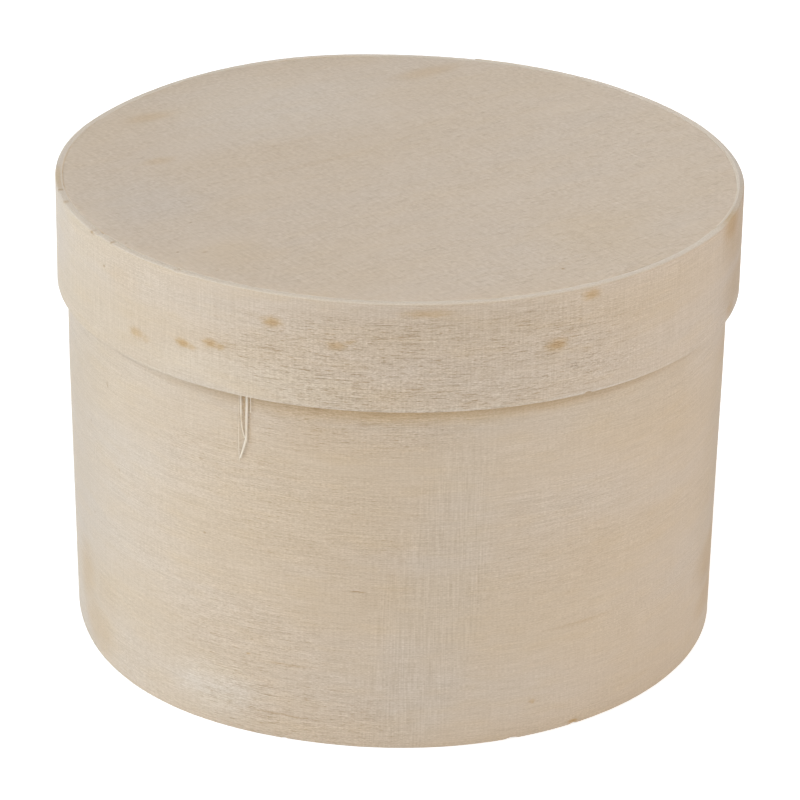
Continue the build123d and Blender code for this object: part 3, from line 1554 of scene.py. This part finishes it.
        faces = (board.top, board.bottom)
        ring = GlueRing(hoop.inner_radius, self.joint, *faces, self.bead, settle, 33.0, self.sunk)
        stain = Mark(-50.0, -2.0, 14.0, 14.0, Tone.KNOT, 0.5, core=0.5)
        bead = DriedGlue("lid glue", self.bead_colour, 15.0, (stain,)).material()
        self.dress(ring.built("lid_glue_ring"), bead, Slot.BEAD_GLUE, "lid_disc_glue")

        fibre = DriedGlue("loose thread", self.thread_colour, 17.0, roughness=0.7).material()
        self.dress(self.thread().built("loose_thread"), fibre, Slot.BEAD_GLUE, None)


@dataclass(frozen=True)
class Softbox:
    """A soft lamp that looks at the box.

    Attributes:
        name: What it is called.
        azimuth: The side that it stands on.
        elevation: How high it stands, in degrees.
        size: Its width and height.
        radiance: How bright its face is.
        colour: Its light's red, green and blue.
        distance: How far from the box it stands.
    """

    name: str
    azimuth: float
    elevation: float
    size: Pair
    radiance: float
    colour: Colour = (1.0, 1.0, 1.0)
    distance: float = 900.0

    def place(self, target: Vector) -> Piece:
        """Stands the lamp up.

        Args:
            target: What it looks at, in metres.

        Returns:
            The lamp.
        """
        light = bpy.data.lights.new(self.name, "AREA")
        light.shape = "RECTANGLE"
        light.size = self.size[0] * MM
        light.size_y = self.size[1] * MM
        light.energy = self.radiance * math.pi * light.size * light.size_y
        light.color = self.colour
        lamp = bpy.data.objects.new(self.name, light)
        flat = self.distance * math.cos(math.radians(self.elevation))
        high = self.distance * math.sin(math.radians(self.elevation))
        lamp.location = target + polar(flat, self.azimuth, high) * MM
        lamp.rotation_euler = (lamp.location - target).to_track_quat("Z", "Y").to_euler()
        lamp.visible_camera = False
        bpy.context.scene.collection.objects.link(lamp)
        return lamp


@dataclass(frozen=True)
class Viewpoint:
    """Where the picture was taken from.

    Attributes:
        pivot_height: Height on the axis of the point that the other values refer to.
        distance: From the lens to that point.
        elevation: How far above the level the lens stands, in degrees.
        roll: Degrees that the picture is turned, with the right side low.
        focal: Focal length for a film as wide as film.
        film: Width of the film.
        pivot_pixel: Where that point falls in the picture.
        picture: Width and height of the picture in pixels.
    """

    pivot_height: float = 35.0
    distance: float = 540.0
    elevation: float = 24.58
    roll: float = 0.96
    focal: float = 160.2
    film: float = 36.0
    pivot_pixel: Pair = (395.96, 383.91)
    picture: float = 800.0

    def place(self) -> Piece:
        """Sets up the camera.

        Returns:
            The camera.
        """
        data = bpy.data.cameras.new("camera")
        data.lens = self.focal
        data.sensor_width = self.film
        data.clip_start = 10 * MM
        camera = bpy.data.objects.new("camera", data)
        pivot = Vector((0.0, 0.0, self.pivot_height))
        eye = pivot + polar(1.0, FRONT, 0.0) * (self.distance * math.cos(math.radians(self.elevation)))
        eye.z += self.distance * math.sin(math.radians(self.elevation))
        straight = (eye - pivot).to_track_quat("Z", "Y")
        rolled = straight @ Matrix.Rotation(math.radians(self.roll), 3, "Z").to_quaternion()
        pixels = self.focal / self.film * self.picture
        across = self.pivot_pixel[0] - self.picture / 2
        down = self.pivot_pixel[1] - self.picture / 2
        aim = Vector((across, -down, -pixels)).rotation_difference(Vector((0.0, 0.0, -1.0)))
        camera.rotation_mode = "QUATERNION"
        camera.rotation_quaternion = rolled @ aim
        camera.location = eye * MM
        bpy.context.scene.collection.objects.link(camera)
        bpy.context.scene.camera = camera
        return camera


@dataclass(frozen=True)
class Studio:
    """The white table, the white room and the lamps.

    Attributes:
        floor_radius: Radius of the table.
        floor_opening: Radius of the opening hidden under the box, through which its base is lit.
        floor_level: Level of the table, just clear of the box.
        floor_sides: Sides of both rounds.
        floor_shade: How much light the table throws back.
        floor_glow: What the lens sees of the table besides that.
        room_light: How bright the room is for everything but the lens.
        lamps: The soft lamps.
    """

    floor_radius: float = 3000.0
    floor_opening: float = 48.5
    floor_level: float = -0.05
    floor_sides: int = 96
    floor_shade: float = 0.8
    floor_glow: float = 0.55
    room_light: float = 0.25
    lamps: tuple[Softbox, ...] = (
        Softbox("top light", 270.0, 80.0, (600.0, 600.0), 1.04, (1.04, 0.99, 0.96)),
        Softbox("window light", 180.0, 25.0, (300.0, 800.0), 4.95, (0.80, 1.00, 1.19)),
        Softbox("left light", 200.0, 25.0, (300.0, 800.0), 2.55, (1.15, 1.00, 0.85)),
        Softbox("front light", 285.0, 25.0, (380.0, 800.0), 2.95, (1.02, 1.00, 0.97)),
        Softbox("right light", 0.0, 25.0, (380.0, 800.0), 2.05, (1.14, 0.98, 0.87)),
        Softbox("back light", 75.0, 25.0, (380.0, 800.0), 1.48, (1.00, 1.02, 0.99)),
        Softbox("base light", 270.0, -90.0, (600.0, 600.0), 3.4),
    )

    def floor_material(self) -> Material:
        """Makes a white that the lens sees as white but for the box's shadow, and sees through from below.

        Returns:
            The material.
        """
        nodes = Nodes(bpy.data.materials.new("white table"))
        path = nodes.add("LightPath")
        seen = nodes.maths("MAXIMUM", path.outputs["Is Camera Ray"], path.outputs["Is Glossy Ray"])
        seen = nodes.maths("MAXIMUM", seen, path.outputs["Is Transmission Ray"])
        shade = nodes.add("BsdfDiffuse", {"Color": (self.floor_shade,) * 3 + (1.0,)})
        glow = nodes.add("Emission", {"Strength": nodes.times(seen, self.floor_glow)})
        white = nodes.add("AddShader", {0: shade.outputs[0], 1: glow.outputs[0]})
        clear = nodes.add("BsdfTransparent")
        back = nodes.add("NewGeometry").outputs["Backfacing"]
        both = nodes.add("MixShader", {0: back, 1: white.outputs[0], 2: clear.outputs[0]})
        return nodes.finish("OutputMaterial", both)

    def floor(self) -> Piece:
        """Lays the table just under the box, open where the box hides it.

        Returns:
            The table.
        """
        skin = Skin("table")
        rings = []
        for radius in (self.floor_radius, self.floor_opening):
            turns = [FULL_TURN * k / self.floor_sides for k in range(self.floor_sides)]
            ring = [polar(radius, turn, self.floor_level) for turn in turns]
            rings.append([skin.point(spot, spot) for spot in ring])
        skin.tube(rings)
        table = skin.built()
        table.data.materials.append(self.floor_material())
        table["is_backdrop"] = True
        return table

    def room(self) -> bpy.types.World:
        """Makes the room white for the lens, and an even light for everything else.

        Returns:
            The room.
        """
        nodes = Nodes(bpy.data.worlds.new("white room"))
        path = nodes.add("LightPath")
        strength = nodes.spread(path.outputs["Is Camera Ray"], self.room_light, 1.0)
        light = nodes.add("Background", {"Color": (1.0, 1.0, 1.0, 1.0), "Strength": strength})
        return nodes.finish("OutputWorld", light)

    def build(self) -> None:
        """Sets up the table, the room, the lamps and the camera."""
        scene = bpy.context.scene
        scene.view_settings.view_transform = "Standard"
        self.floor()
        scene.world = self.room()
        low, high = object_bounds()
        for lamp in self.lamps:
            lamp.place((low + high) / 2)
        Viewpoint().place()
        LOG.info("studio: a white table, a white room and %d lamps", len(self.lamps))


def main() -> None:
    """Builds the box, its lid and the studio in that order, and reports each piece."""
    logging.basicConfig(level=logging.INFO, format="%(message)s")
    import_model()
    BoxBody().build()
    Lid().build()
    Studio().build()


if __name__ == "__main__":
    main()
